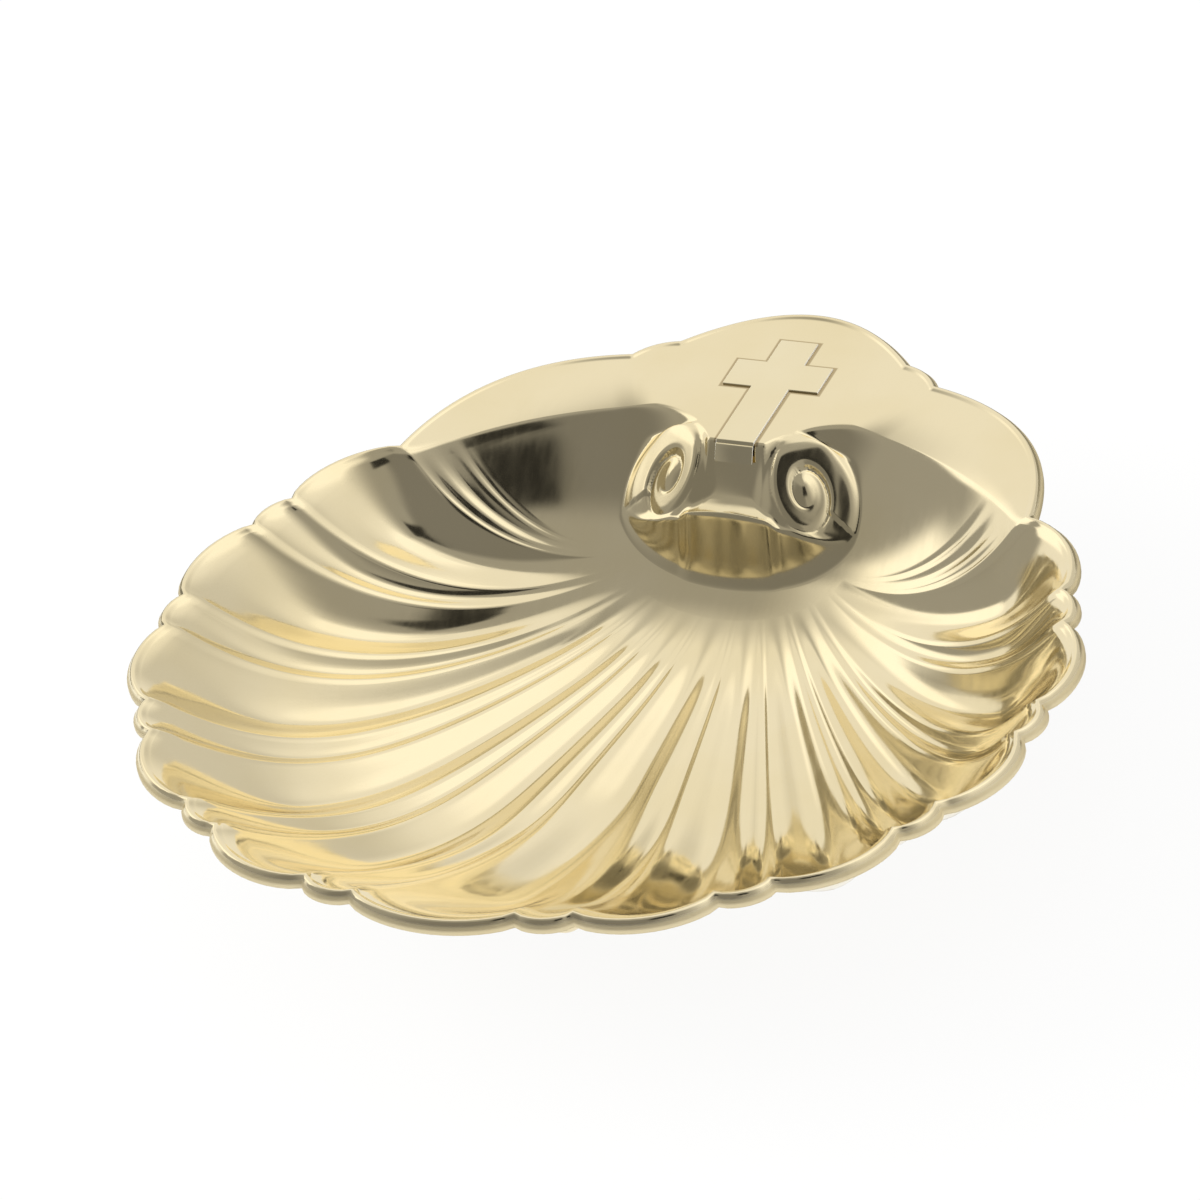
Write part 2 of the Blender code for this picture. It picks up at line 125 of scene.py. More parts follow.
VOLUTE_X = 11.0
VOLUTE_Y = 37.0
VOLUTE_DEPTH = 6.8
VOLUTE_OUT_TILT = 0.57
VOLUTE_BACK_TILT = 0.90
VOLUTE_RADIUS = 8.5
VOLUTE_DOME = 2.6
VOLUTE_DOME_POWER = 9
VOLUTE_START_ANGLE = -15.0
COIL_SHRINK = 0.40
COIL_RELIEF = 1.6
COIL_FLATNESS = 6
COIL_RUN_IN = 0.2
KNOB_RADIUS = 2.4
KNOB_RISE = 1.2
KNOB_BLEND = 0.5
VOLUTE_ROUND = 1.8
FLANK_ROUND = 0.8

NARROW_COLUMNS = 8
WIDE_COLUMNS = 13
LAST_NARROW_COLUMNS = 4
LAST_WIDE_COLUMNS = 5
FLANGE_SIDE_COLUMNS = 62
FLANGE_DIP_COLUMNS = 20
FLANGE_BACK_COLUMNS = 22
INNER_HUB_ROW = 0.05

JUNCTION_ANGLE = MIDDLE_FLUTE / 2 + FLUTE_PAIRS_PER_SIDE * (NARROW_FLUTE + WIDE_FLUTE)
FAN_END = JUNCTION_ANGLE + LAST_WIDE_FLUTE + 2 * LAST_NARROW_FLUTE


def smooth_max(first, second, radius):
    """The greater of two heights, with a round fillet where they meet."""
    blend = np.clip(radius - np.abs(first - second), 0.0, None)
    return np.maximum(first, second) + blend * blend / (4.0 * radius)


def smooth_step(value):
    """An even ease from 0 to 1."""
    value = np.clip(value, 0.0, 1.0)
    return value * value * (3.0 - 2.0 * value)


def fan_columns():
    """Angle, place across its flute and flute's width of each column, from the front round to the back."""
    flutes = [(MIDDLE_FLUTE, NARROW_COLUMNS)]
    for _ in range(FLUTE_PAIRS_PER_SIDE):
        flutes += [(NARROW_FLUTE, NARROW_COLUMNS), (WIDE_FLUTE, WIDE_COLUMNS)]
    flutes += [
        (LAST_NARROW_FLUTE, LAST_NARROW_COLUMNS),
        (LAST_WIDE_FLUTE, LAST_WIDE_COLUMNS),
        (LAST_NARROW_FLUTE, LAST_NARROW_COLUMNS),
    ]
    columns = []
    start = -MIDDLE_FLUTE / 2
    for number, (width, count) in enumerate(flutes):
        first = 0.5 if number == 0 else 0.0
        for place in np.linspace(first, 1.0, count + 1)[:-1]:
            columns.append((start + width * place, place, width))
        start += width
    stretches = (
        (FLANGE_SIDE_ANGLE, FLANGE_SIDE_COLUMNS),
        (FLANGE_BACK_ANGLE, FLANGE_DIP_COLUMNS),
        (180.0, FLANGE_BACK_COLUMNS),
    )
    for end, count in stretches:
        for angle in np.linspace(start, end, count + 1)[:-1]:
            columns.append((angle, 0.0, 0.0))
        start = end
    columns.append((180.0, 0.0, 0.0))
    return np.array(columns)


def oval(angle):
    """Points of the bowl's plain lip, before its lobes."""
    power = 2.0 / LIP_SQUARENESS
    across = np.sin(np.radians(angle))
    along = -np.cos(np.radians(angle))
    reach = np.where(along < 0, LIP_FRONT, LIP_BACK)
    x = LIP_HALF_WIDTH * np.sign(across) * np.abs(across) ** power
    y = BOWL_CENTRE_Y + reach * np.sign(along) * np.abs(along) ** power
    return np.stack([x, y], -1)


def lip_and_edge(columns):
    """Where each column meets the lobed lip of the bowl, and the outer edge of the rim or flange."""
    angle, place, width = columns.T
    lip = oval(angle)
    centre = np.array([0.0, BOWL_CENTRE_Y])
    outward = lip - centre
    outward /= np.linalg.norm(outward, axis=1, keepdims=True)
    rise = np.where(width > NARROW_FLUTE, WIDE_LOBE_RISE, NARROW_LOBE_RISE)
    lobes = np.clip(4.0 * place * (1.0 - place), 0.0, None) ** LOBE_FULLNESS
    rise = np.where(angle < JUNCTION_ANGLE, rise, 0.0) * lobes
    edge = lip + outward * (RIM_BAND + rise)[:, None]
    lip = lip + outward * rise[:, None]
    junction = oval(np.array([JUNCTION_ANGLE]))[0]
    away = (junction - centre) / np.linalg.norm(junction - centre)
    junction = junction + away * RIM_BAND
    side = np.array(FLANGE_SIDE_DIP)
    back = np.array(FLANGE_BACK_DIP)
    stretches = (
        (JUNCTION_ANGLE, FLANGE_SIDE_ANGLE, junction, side, SIDE_LOBE_BULGE, 1.0),
        (FLANGE_SIDE_ANGLE, FLANGE_BACK_ANGLE, side, back, SMALL_LOBE_BULGE, 1.0),
        (FLANGE_BACK_ANGLE, 180.0, back, back * (-1, 1), BACK_LOBE_BULGE, 0.5),
    )
    for begin, end, start, finish, bulge, part in stretches:
        here = (angle >= begin - 1e-6) & (angle <= end + 1e-6)
        along = part * np.clip((angle - begin) / (end - begin), 0.0, 1.0)
        chord = finish - start
        normal = np.array([chord[1], -chord[0]]) / np.linalg.norm(chord)
        bulged = start + along[:, None] * chord + (4.0 * along * (1.0 - along) * bulge)[:, None] * normal
        edge = np.where(here[:, None], bulged, edge)
    return lip, edge


def hub_points(columns):
    """Where each column leaves the hub under the hinge."""
    angle = columns[:, 0]
    fan = HUB_FAN_ANGLE * angle / FAN_END
    rest = HUB_FAN_ANGLE + (180.0 - HUB_FAN_ANGLE) * (angle - FAN_END) / (180.0 - FAN_END)
    turn = np.radians(np.where(angle < FAN_END, fan, rest))
    return np.stack([HUB_HALF_WIDTH * np.sin(turn), HUB_CENTRE_Y - HUB_HALF_LENGTH * np.cos(turn)], -1)


def oval_ratio(x, y):
    """Distance from the bowl's centre, as a share of the plain lip's."""
    reach = np.where(y < BOWL_CENTRE_Y, LIP_FRONT, LIP_BACK)
    across = np.abs(x / LIP_HALF_WIDTH) ** LIP_SQUARENESS
    along = np.abs((y - BOWL_CENTRE_Y) / reach) ** LIP_SQUARENESS
    return (across + along) ** (1.0 / LIP_SQUARENESS)


def bowl_height(x, y, lip, share):
    """Height of the smooth bowl, steep at the sides and easier towards the front."""
    own = 1.0 + share * (oval_ratio(lip[:, 0], lip[:, 1]) - 1.0)
    distance = np.hypot(x, y - BOWL_CENTRE_Y) + 1e-9
    forward = np.clip((BOWL_CENTRE_Y - y) / distance, 0.0, 1.0)
    power = SIDE_WALL_POWER + (FRONT_WALL_POWER - SIDE_WALL_POWER) * forward ** 2
    return -BOWL_DEPTH * (1.0 - (oval_ratio(x, y) / own) ** power)


def block_wall(x, y):
    """Height of the hinge block's wall, round at the front and squarer at the back."""
    power = np.where(y < BLOCK_CENTRE_Y, BLOCK_FRONT_SQUARENESS, BLOCK_BACK_SQUARENESS)
    across = np.abs(x) / BLOCK_HALF_WIDTH + 1e-6
    along = np.abs(y - BLOCK_CENTRE_Y) / BLOCK_HALF_LENGTH + 1e-6
    ratio = (across ** power + along ** power) ** (1.0 / power)
    steep_across = across ** (power - 1.0) / BLOCK_HALF_WIDTH
    steep_along = along ** (power - 1.0) / BLOCK_HALF_LENGTH
    outside = (ratio - 1.0) * ratio ** (power - 1.0) / np.hypot(steep_across, steep_along)
    return -SADDLE_DROP - BLOCK_WALL_SLOPE * outside


def volute_turn(x, y):
    """Distance from the volute's eye, the spiral's radius in that direction and the volute's limit there."""
    across = np.abs(x) - VOLUTE_X
    along = y - VOLUTE_Y
    radius = np.hypot(across, along) + 1e-6
    turn = (np.degrees(np.arctan2(along, across)) - VOLUTE_START_ANGLE) % 360.0 / 360.0
    spiral = VOLUTE_RADIUS * COIL_SHRINK ** turn
    run_in = smooth_step((turn - 1.0 + COIL_RUN_IN) / COIL_RUN_IN)
    return radius, spiral, spiral * COIL_SHRINK ** -run_in


def band(place):
    """Height across one coil, flat on top and falling at both sides."""
    return 1.0 - np.abs(2.0 * place - 1.0) ** COIL_FLATNESS


def soft_ramp(value, width):
    """A rise that starts gently over a width."""
    value = np.clip(value, 0.0, None)
    return value * value / (value + width)


def volute_height(x, y, chased):
    """Height of the leaning volutes, with their coils and eyes where they are chased."""
    radius, spiral, limit = volute_turn(x, y)
    wound = np.clip(np.log(radius / spiral) / math.log(COIL_SHRINK), 0.0, None)
    size = spiral * COIL_SHRINK ** np.floor(wound) / VOLUTE_RADIUS
    coil = size * band(wound % 1.0)
    starting = (radius > spiral) & (radius < limit)
    width = np.where(starting, limit - spiral, 1.0)
    coil = np.where(starting, band((limit - radius) / width) * width / VOLUTE_RADIUS, coil)
    knob = KNOB_RISE * (1.0 - (radius / KNOB_RADIUS) ** 2)
    relief = smooth_max(COIL_RELIEF * coil, knob, KNOB_BLEND) if chased else 0.0
    plane = -VOLUTE_DEPTH - VOLUTE_OUT_TILT * (np.abs(x) - VOLUTE_X) + VOLUTE_BACK_TILT * (y - VOLUTE_Y)
    dome = VOLUTE_DOME * (radius / VOLUTE_RADIUS) ** VOLUTE_DOME_POWER
    return plane + relief - dome - EDGE_SLOPE * soft_ramp(radius - limit, FLANK_ROUND)


def tongue_height(x, y):
    """Height of the saddle between the volutes, and of the ears' edges beside them."""
    beside = np.clip(np.abs(x) - NECK_HALF_WIDTH, 0.0, None)
    edge = NECK_Y + EAR_SETBACK * (1.0 - np.exp(-beside / NECK_SPREAD))
    run = np.clip((y - SADDLE_FRONT_Y) / (edge - SADDLE_FRONT_Y), 0.0, None)
    saddle = -(SADDLE_DROP + SADDLE_ARCH * (x / BLOCK_HALF_WIDTH) ** 2) * (1.0 - run ** SADDLE_SAG)
    saddle = saddle - BLOCK_WALL_SLOPE * np.clip(SADDLE_FRONT_Y - y, 0.0, None)
    cliff = EDGE_SLOPE * (y - edge)
    share = smooth_step((np.abs(x) - SADDLE_HALF_WIDTH) / SADDLE_FADE)
    radius, _, limit = volute_turn(x, y)
    groove = EDGE_SLOPE * soft_ramp(limit - radius, FLANK_ROUND)
    return (1.0 - share) * saddle + share * cliff - groove


def head_height(x, y, chased):
    """Height of the whole hinge: block, volutes and saddle."""
    top = -SADDLE_DROP - SADDLE_ARCH * (x / BLOCK_HALF_WIDTH) ** 2
    top = smooth_max(top, volute_height(x, y, chased), VOLUTE_ROUND)
    head = -smooth_max(-top, -block_wall(x, y), BLOCK_EDGE_ROUND)
    return smooth_max(head, tongue_height(x, y), SADDLE_ROUND)


def sheet_row(columns, lip, edge, hub, section, along, chased):
    """One row of points, at a place along the hub, the flutes, the rim's edge or its folded-under side."""
    angle, place, width = columns.T
    middle = np.array([0.0, HUB_CENTRE_Y])
    drop = 0.0
    flute = 0.0
    if section == "hub":
        plan = middle + (hub - middle) * along
    elif section == "flute":
        reach = np.linalg.norm(lip - hub, axis=1, keepdims=True)
        easing = 1.0 - smooth_step((angle - FAN_END) / (180.0 - FAN_END))
        swing = np.where(angle <= FAN_END, angle / FAN_END, easing)
        bend = (hub + lip) / 2 - np.array([0.0, 1.0]) * FLUTE_SWEEP * swing[:, None] * reach / 2
        plan = (1 - along) ** 2 * hub + 2 * along * (1 - along) * bend + along ** 2 * lip
        span = np.radians(width) * (HUB_HALF_LENGTH + (LIP_HALF_WIDTH - HUB_HALF_LENGTH) * along)
        late = smooth_step((angle - LATE_FLUTE_ANGLE) / (JUNCTION_ANGLE - LATE_FLUTE_ANGLE))
        start = FLUTE_START + (LATE_FLUTE_START - FLUTE_START) * late
        fade = smooth_step(along / start) * smooth_step((1.0 - along) / FLUTE_FINISH)
        flute = FLUTE_HOLLOW * span * np.sin(math.pi * place) ** 2 * fade
    else:
        chord = edge - lip
        length = np.linalg.norm(chord, axis=1)
        turn = min(along, 1.0) * math.pi / 2
        if section == "edge":
            reach = length - EDGE_ROUND * (1.0 - math.sin(turn))
            bead = BEAD_RISE * math.sin(math.pi * min(along / BEAD_SHARE, 1.0)) ** 2
            drop = EDGE_DROP * (1.0 - math.cos(turn)) + SKIRT * max(along - 1.0, 0.0) - bead
        else:
            reach = length - SHEET - (EDGE_ROUND - 2.0 * SHEET) * (1.0 - math.sin(turn))
            drop = SHEET + (EDGE_DROP + SKIRT - SHEET) * (1.0 - math.cos(turn))
        plan = lip + chord * (reach / length)[:, None]
    x, y = plan.T
    share = {"hub": 0.0, "flute": along, "edge": 1.0, "fold": 1.0}[section]
    height = bowl_height(x, y, lip, share) - flute
    height = smooth_max(height, head_height(x, y, chased), BLOCK_FOOT_ROUND)
    height = -smooth_max(-height, np.zeros(len(columns)), LIP_ROUND)
    return np.stack([x, y, FLANGE_HEIGHT + height - drop], -1)


def sheet_rows(hub_rows, flute_rows, edge_rows, chased):
    """Points of the right half of the sheet, from the hub outward and from the front column to the back."""
    steps = [("hub", 0.0)] + [("hub", along) for along in np.linspace(INNER_HUB_ROW, 1.0, hub_rows)]
    steps += [("flute", along) for along in np.linspace(0.0, 1.0, flute_rows + 1)[1:]]
    if chased:
        steps += [("edge", along) for along in np.linspace(0.0, 1.0, edge_rows + 1)]
        steps += [("edge", along) for along in SKIRT_STEPS]
    else:
        steps += [("fold", along) for along in np.linspace(0.0, 1.0, edge_rows + 1)]
    columns = fan_columns()
    lip, edge = lip_and_edge(columns)
    hub = hub_points(columns)
    grid = np.array([sheet_row(columns, lip, edge, hub, *step, chased) for step in steps])
    grid[:, (0, -1), 0] = 0.0
    return grid


FINE_HEAD_ROWS = 80
FINE_BOWL_ROWS = 48
FINE_EDGE_ROWS = 16
HEAD_ROWS = 20
BOWL_ROWS = 24
FOLD_ROWS = 6
EDGE_BLEND_ROWS = 3.0
upper = sheet_rows(FINE_HEAD_ROWS, FINE_BOWL_ROWS, FINE_EDGE_ROWS, True)
under = sheet_rows(HEAD_ROWS, BOWL_ROWS, FOLD_ROWS, False)
normal = np.cross(np.gradient(under, axis=0), np.gradient(under, axis=1))
normal[0] = (0.0, 0.0, 1.0)
normal[:, (0, -1), 0] = 0.0
normal /= np.maximum(np.linalg.norm(normal, axis=2, keepdims=True), 1e-12)
head = slice(0, HEAD_ROWS + 1)
bowl = slice(HEAD_ROWS + 1, HEAD_ROWS + 1 + BOWL_ROWS)
under[head, :, 2] -= SHEET / np.maximum(normal[head, :, 2], HEAD_WALL_THINNING)
under[bowl] -= SHEET * normal[bowl]
sheet = np.concatenate([upper, under[::-1]]) * MM

rows, count = sheet.shape[:2]
bpy.ops.object.select_all(action="DESELECT")
bpy.ops.mesh.primitive_grid_add(x_subdivisions=count - 1, y_subdivisions=rows - 1, size=1.0)
shell = bpy.context.object
shell.name = "polished_shell"
flat = np.empty(len(shell.data.vertices) * 3, np.float32)
shell.data.vertices.foreach_get("co", flat)
flat = flat.reshape(-1, 3)
column = count - 1 - np.rint((flat[:, 0] + 0.5) * (count - 1)).astype(int)
row = np.rint((flat[:, 1] + 0.5) * (rows - 1)).astype(int)
shell.data.vertices.foreach_set("co", sheet[row, column].astype(np.float32).ravel())
edge_top = 1 + FINE_HEAD_ROWS + FINE_BOWL_ROWS + FINE_EDGE_ROWS // 2
unbuffed = smooth_step((row - edge_top) / EDGE_BLEND_ROWS) * (row <= len(upper) + FOLD_ROWS)
turned_edge = shell.data.attributes.new("turned_edge", "FLOAT", "POINT")
turned_edge.data.foreach_set("value", unbuffed.astype(np.float32))
bpy.ops.object.mode_set(mode="EDIT")
bpy.ops.mesh.select_all(action="SELECT")
bpy.ops.mesh.remove_doubles(threshold=1e-7)
bpy.ops.object.mode_set(mode="OBJECT")
mirror = shell.modifiers.new("Left half", "MIRROR")
mirror.merge_threshold = 1e-6
bpy.ops.object.modifier_apply(modifier=mirror.name)
bpy.ops.object.shade_smooth()


def reckon(tree, operation, first, second):
    """The result of an operation on two values, each a number or another node's output."""
    node = tree.nodes.new("ShaderNodeMath")
    node.operation = operation
    for socket, value in zip(node.inputs, (first, second)):
        if isinstance(value, float):
            socket.default_value = value
        else:
            tree.links.new(value, socket)
    return node.outputs[0]


gold_polish = bpy.data.node_groups.new("gold_polish", "ShaderNodeTree")
gold_polish.interface.new_socket("Gold", in_out="INPUT", socket_type="NodeSocketColor")
gold_polish.interface.new_socket("Warm", in_out="INPUT", socket_type="NodeSocketColor")
gold_polish.interface.new_socket("Dullness", in_out="INPUT", socket_type="NodeSocketFloat")
gold_polish.interface.new_socket("Color", in_out="OUTPUT", socket_type="NodeSocketColor")
gold_polish.interface.new_socket("Roughness", in_out="OUTPUT", socket_type="NodeSocketFloat")
gold_polish.interface.new_socket("Height", in_out="OUTPUT", socket_type="NodeSocketFloat")
nodes = gold_polish.nodes
links = gold_polish.links
given = nodes.new("NodeGroupInput")
shown = nodes.new("NodeGroupOutput")
where = nodes.new("ShaderNodeTexCoord")
cloud = nodes.new("ShaderNodeTexNoise")
cloud.inputs["Scale"].default_value = 45.0
cloud.inputs["Detail"].default_value = 4.0
links.new(where.outputs["Object"], cloud.inputs["Vector"])
tone = nodes.new("ShaderNodeMapRange")
tone.inputs["From Min"].default_value = 0.42
tone.inputs["From Max"].default_value = 0.75
links.new(cloud.outputs["Fac"], tone.inputs["Value"])
tint = nodes.new("ShaderNodeMix")
tint.data_type = "RGBA"
links.new(tone.outputs["Result"], tint.inputs["Factor"])
links.new(given.outputs["Gold"], tint.inputs["A"])
links.new(given.outputs["Warm"], tint.inputs["B"])
links.new(tint.outputs["Result"], shown.inputs["Color"])
rub = nodes.new("ShaderNodeTexNoise")
rub.inputs["Scale"].default_value = 900.0
rub.inputs["Detail"].default_value = 3.0
stretch = nodes.new("ShaderNodeMapping")
stretch.inputs["Scale"].default_value = (1.0, 0.12, 0.4)
stretch.inputs["Rotation"].default_value = (0.0, 0.0, 0.6)
links.new(where.outputs["Object"], stretch.inputs["Vector"])
links.new(stretch.outputs["Vector"], rub.inputs["Vector"])
haze = nodes.new("ShaderNodeMapRange")
haze.inputs["From Min"].default_value = 0.3
haze.inputs["From Max"].default_value = 0.8
haze.inputs["To Min"].default_value = 0.85
haze.inputs["To Max"].default_value = 1.5
links.new(rub.outputs["Fac"], haze.inputs["Value"])
dullness = reckon(gold_polish, "MULTIPLY", haze.outputs["Result"], given.outputs["Dullness"])
links.new(dullness, shown.inputs["Roughness"])
wave = nodes.new("ShaderNodeTexNoise")
wave.inputs["Scale"].default_value = 70.0
wave.inputs["Detail"].default_value = 1.0
links.new(where.outputs["Object"], wave.inputs["Vector"])
links.new(wave.outputs["Fac"], shown.inputs["Height"])


def polished_gold(name, gold, warm, dullness, ripple):
    """Plated brass, buffed: pale gold with a warmer cloud in it, faint rub marks and a slight ripple."""
    material = bpy.data.materials.new(name)
    material.use_nodes = True
    tree = material.node_tree
    shader = tree.nodes["Principled BSDF"]
    shader.inputs["Metallic"].default_value = 1.0
    polish = tree.nodes.new("ShaderNodeGroup")
    polish.node_tree = gold_polish
    polish.inputs["Gold"].default_value = (*gold, 1.0)
    polish.inputs["Warm"].default_value = (*warm, 1.0)
    polish.inputs["Dullness"].default_value = dullness
    bump = tree.nodes.new("ShaderNodeBump")
    bump.inputs["Strength"].default_value = 1.0
    bump.inputs["Distance"].default_value = ripple
    tree.links.new(polish.outputs["Color"], shader.inputs["Base Color"])
    tree.links.new(polish.outputs["Roughness"], shader.inputs["Roughness"])
    tree.links.new(polish.outputs["Height"], bump.inputs["Height"])
    tree.links.new(bump.outputs["Normal"], shader.inputs["Normal"])
    return material


SHELL_GOLD = (0.92, 0.82, 0.57)
SHELL_WARM = (0.88, 0.77, 0.50)
SHELL_DULLNESS = 0.10
SHELL_RIPPLE = 0.06
EDGE_DULLNESS = 0.65
shell_gold = polished_gold("shell_gold", SHELL_GOLD, SHELL_WARM, SHELL_DULLNESS, SHELL_RIPPLE * MM)
tree = shell_gold.node_tree
shader = tree.nodes["Principled BSDF"]
edge_mask = tree.nodes.new("ShaderNodeAttribute")
edge_mask.attribute_name = "turned_edge"
buffed = shader.inputs["Roughness"].links[0].from_socket
dulled = tree.nodes.new("ShaderNodeMix")
dulled.inputs["B"].default_value = EDGE_DULLNESS
tree.links.new(edge_mask.outputs["Fac"], dulled.inputs["Factor"])
tree.links.new(buffed, dulled.inputs["A"])
tree.links.new(dulled.outputs["Result"], shader.inputs["Roughness"])
shell.data.materials.append(shell_gold)
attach(shell, "root")
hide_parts("shell_dish")


# Cross plate: a plain Latin cross sawn from thin brass, its edges broken with a file. Its sides that face
# left and right carry a painted highlight, a paler and less metallic gold. It is soldered flat on the
# flange, and a fine brown line is painted on the flange round it. Its foot is bent down over the neck as a
# short tab, and it is plated with the dish.
CROSS_BAR = 6.0
CROSS_HEIGHT = 24.4
CROSS_SPAN = 15.3
CROSS_ARM_DROP = 8.4
CROSS_TOP = 30.48
CROSS_SEAT = 0.2
TAB_BEND = 0.5
TAB_ANGLE = 58.0
TAB_LENGTH = 2.6
FILED_EDGE = 0.12
FACE_WITHIN = 0.1
FACE_ALONG = 0.9
CROSS_GOLD = (0.92, 0.83, 0.59)
CROSS_WARM = (0.88, 0.78, 0.52)
CROSS_DULLNESS = 0.10
CROSS_RIPPLE = 0.02
# Painted highlight: the faces of the cross turned to the left or right get a paler, less metallic gold.
SIDE_HIGHLIGHT_PALE = (0.98, 0.96, 0.90)
SIDE_HIGHLIGHT_WARM = (0.96, 0.93, 0.84)
SIDE_HIGHLIGHT_DULLNESS = 0.45
SIDE_HIGHLIGHT_METALLIC = 0.3
SIDE_HIGHLIGHT_FACING = 0.4
# A fine brown line painted on the flange round the cross, fading out between these distances from its edges.
OUTLINE_BROWN = (0.52, 0.42, 0.25)
OUTLINE_INNER = 0.38
OUTLINE_OUTER = 0.65
crossing_y = NECK_Y + CROSS_HEIGHT - CROSS_ARM_DROP
plate = CROSS_TOP - FLANGE_HEIGHT + CROSS_SEAT
bpy.ops.object.select_all(action="DESELECT")
bpy.ops.mesh.primitive_cube_add(size=1.0, location=(0.0, 0.0, 0.0))
cross = bpy.context.object
cross.name = "applied_cross"
cross.scale = (CROSS_BAR * MM, CROSS_BAR * MM, plate * MM)
cross.location = (0.0, crossing_y * MM, (CROSS_TOP - plate / 2) * MM)
bpy.ops.object.transform_apply(location=True, rotation=True, scale=True)
arms = (
    ((1, 0, 0), (CROSS_SPAN - CROSS_BAR) / 2),
    ((-1, 0, 0), (CROSS_SPAN - CROSS_BAR) / 2),
    ((0, 1, 0), CROSS_ARM_DROP - CROSS_BAR / 2),
    ((0, -1, 0), CROSS_HEIGHT - CROSS_ARM_DROP - CROSS_BAR / 2),
)
middle = Vector((0.0, crossing_y * MM, (CROSS_TOP - plate / 2) * MM))
bpy.ops.object.mode_set(mode="EDIT")
bpy.ops.mesh.select_mode(type="FACE")
for way, reach in arms:
    bpy.ops.mesh.select_all(action="DESELECT")
    sides = bmesh.from_edit_mesh(cross.data)
    for face in sides.faces:
        beside = (face.calc_center_median() - middle).cross(Vector(way))
        face.select_set(face.normal.dot(Vector(way)) > FACE_ALONG and beside.length < FACE_WITHIN * MM)
    bpy.ops.mesh.extrude_region_move(TRANSFORM_OT_translate={"value": Vector(way) * reach * MM})
bpy.ops.mesh.select_all(action="DESELECT")
foot_end = Vector((0.0, NECK_Y * MM, (CROSS_TOP - plate / 2) * MM))
sides = bmesh.from_edit_mesh(cross.data)
for face in sides.faces:
    face.select_set((face.calc_center_median() - foot_end).length < FACE_WITHIN * MM)
bpy.ops.mesh.extrude_region_move(TRANSFORM_OT_translate={"value": (0, -TAB_BEND * MM, 0)})
bend = (0.0, (NECK_Y - TAB_BEND) * MM, (CROSS_TOP - plate) * MM)
bpy.ops.transform.rotate(value=math.radians(TAB_ANGLE), orient_axis="X", center_override=bend)
down = Vector((0.0, -math.cos(math.radians(TAB_ANGLE)), -math.sin(math.radians(TAB_ANGLE))))
bpy.ops.mesh.extrude_region_move(TRANSFORM_OT_translate={"value": down * TAB_LENGTH * MM})
bpy.ops.object.mode_set(mode="OBJECT")
edges = cross.modifiers.new("Filed edges", "BEVEL")
edges.width = FILED_EDGE * MM
edges.segments = 3
edges.limit_method = "ANGLE"
bpy.ops.object.modifier_apply(modifier=edges.name)
bpy.ops.object.shade_smooth_by_angle(angle=math.radians(40))
cross_gold = polished_gold("cross_gold", CROSS_GOLD, CROSS_WARM, CROSS_DULLNESS, CROSS_RIPPLE * MM)
painted_side_highlight = polished_gold("cross_painted_side_highlight", SIDE_HIGHLIGHT_PALE, SIDE_HIGHLIGHT_WARM, SIDE_HIGHLIGHT_DULLNESS, CROSS_RIPPLE * MM)
painted_side_highlight.node_tree.nodes["Principled BSDF"].inputs["Metallic"].default_value = SIDE_HIGHLIGHT_METALLIC
cross.data.materials.append(cross_gold)
cross.data.materials.append(painted_side_highlight)
# Painted highlight: each face turned far enough to the left or right takes the paler gold.
for face in cross.data.polygons:
    face.material_index = int(abs(face.normal.x) > SIDE_HIGHLIGHT_FACING)

# How much of the painted brown line lies at each point of the flange's top.
brown_outline = bpy.data.node_groups.new("brown_outline", "ShaderNodeTree")
brown_outline.interface.new_socket("Line", in_out="OUTPUT", socket_type="NodeSocketFloat")
nodes = brown_outline.nodes
links = brown_outline.links
where = nodes.new("ShaderNodeTexCoord")
parts = nodes.new("ShaderNodeSeparateXYZ")
links.new(where.outputs["Object"], parts.inputs["Vector"])
across = reckon(brown_outline, "ABSOLUTE", parts.outputs["X"], 0.0)
bars = (
    (CROSS_BAR / 2, NECK_Y + CROSS_HEIGHT / 2, CROSS_HEIGHT / 2),
    (CROSS_SPAN / 2, crossing_y, CROSS_BAR / 2),
)
gaps = []
for half_width, centre_y, half_length in bars:
    offset = reckon(brown_outline, "SUBTRACT", parts.outputs["Y"], centre_y * MM)
    along = reckon(brown_outline, "ABSOLUTE", offset, 0.0)
    beside = reckon(brown_outline, "SUBTRACT", across, half_width * MM)
    beyond = reckon(brown_outline, "SUBTRACT", along, half_length * MM)
    gaps.append(reckon(brown_outline, "MAXIMUM", beside, beyond))
near = nodes.new("ShaderNodeMapRange")
near.interpolation_type = "SMOOTHSTEP"
near.inputs["From Min"].default_value = OUTLINE_OUTER * MM
near.inputs["From Max"].default_value = OUTLINE_INNER * MM
links.new(reckon(brown_outline, "MINIMUM", gaps[0], gaps[1]), near.inputs["Value"])
on_top = reckon(brown_outline, "GREATER_THAN", parts.outputs["Z"], (FLANGE_HEIGHT - SHEET / 2) * MM)
shown = nodes.new("NodeGroupOutput")
links.new(reckon(brown_outline, "MULTIPLY", near.outputs["Result"], on_top), shown.inputs["Line"])

tree = shell_gold.node_tree
line = tree.nodes.new("ShaderNodeGroup")
line.node_tree = brown_outline
# The painted brown line mixed into the flange's gold.
browned = tree.nodes.new("ShaderNodeMix")
browned.data_type = "RGBA"
browned.inputs["B"].default_value = (*OUTLINE_BROWN, 1.0)
shader = tree.nodes["Principled BSDF"]
plain = shader.inputs["Base Color"].links[0].from_socket
tree.links.new(line.outputs["Line"], browned.inputs["Factor"])
tree.links.new(plain, browned.inputs["A"])
tree.links.new(browned.outputs["Result"], shader.inputs["Base Color"])
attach(cross, "root")
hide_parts("cross_plate")


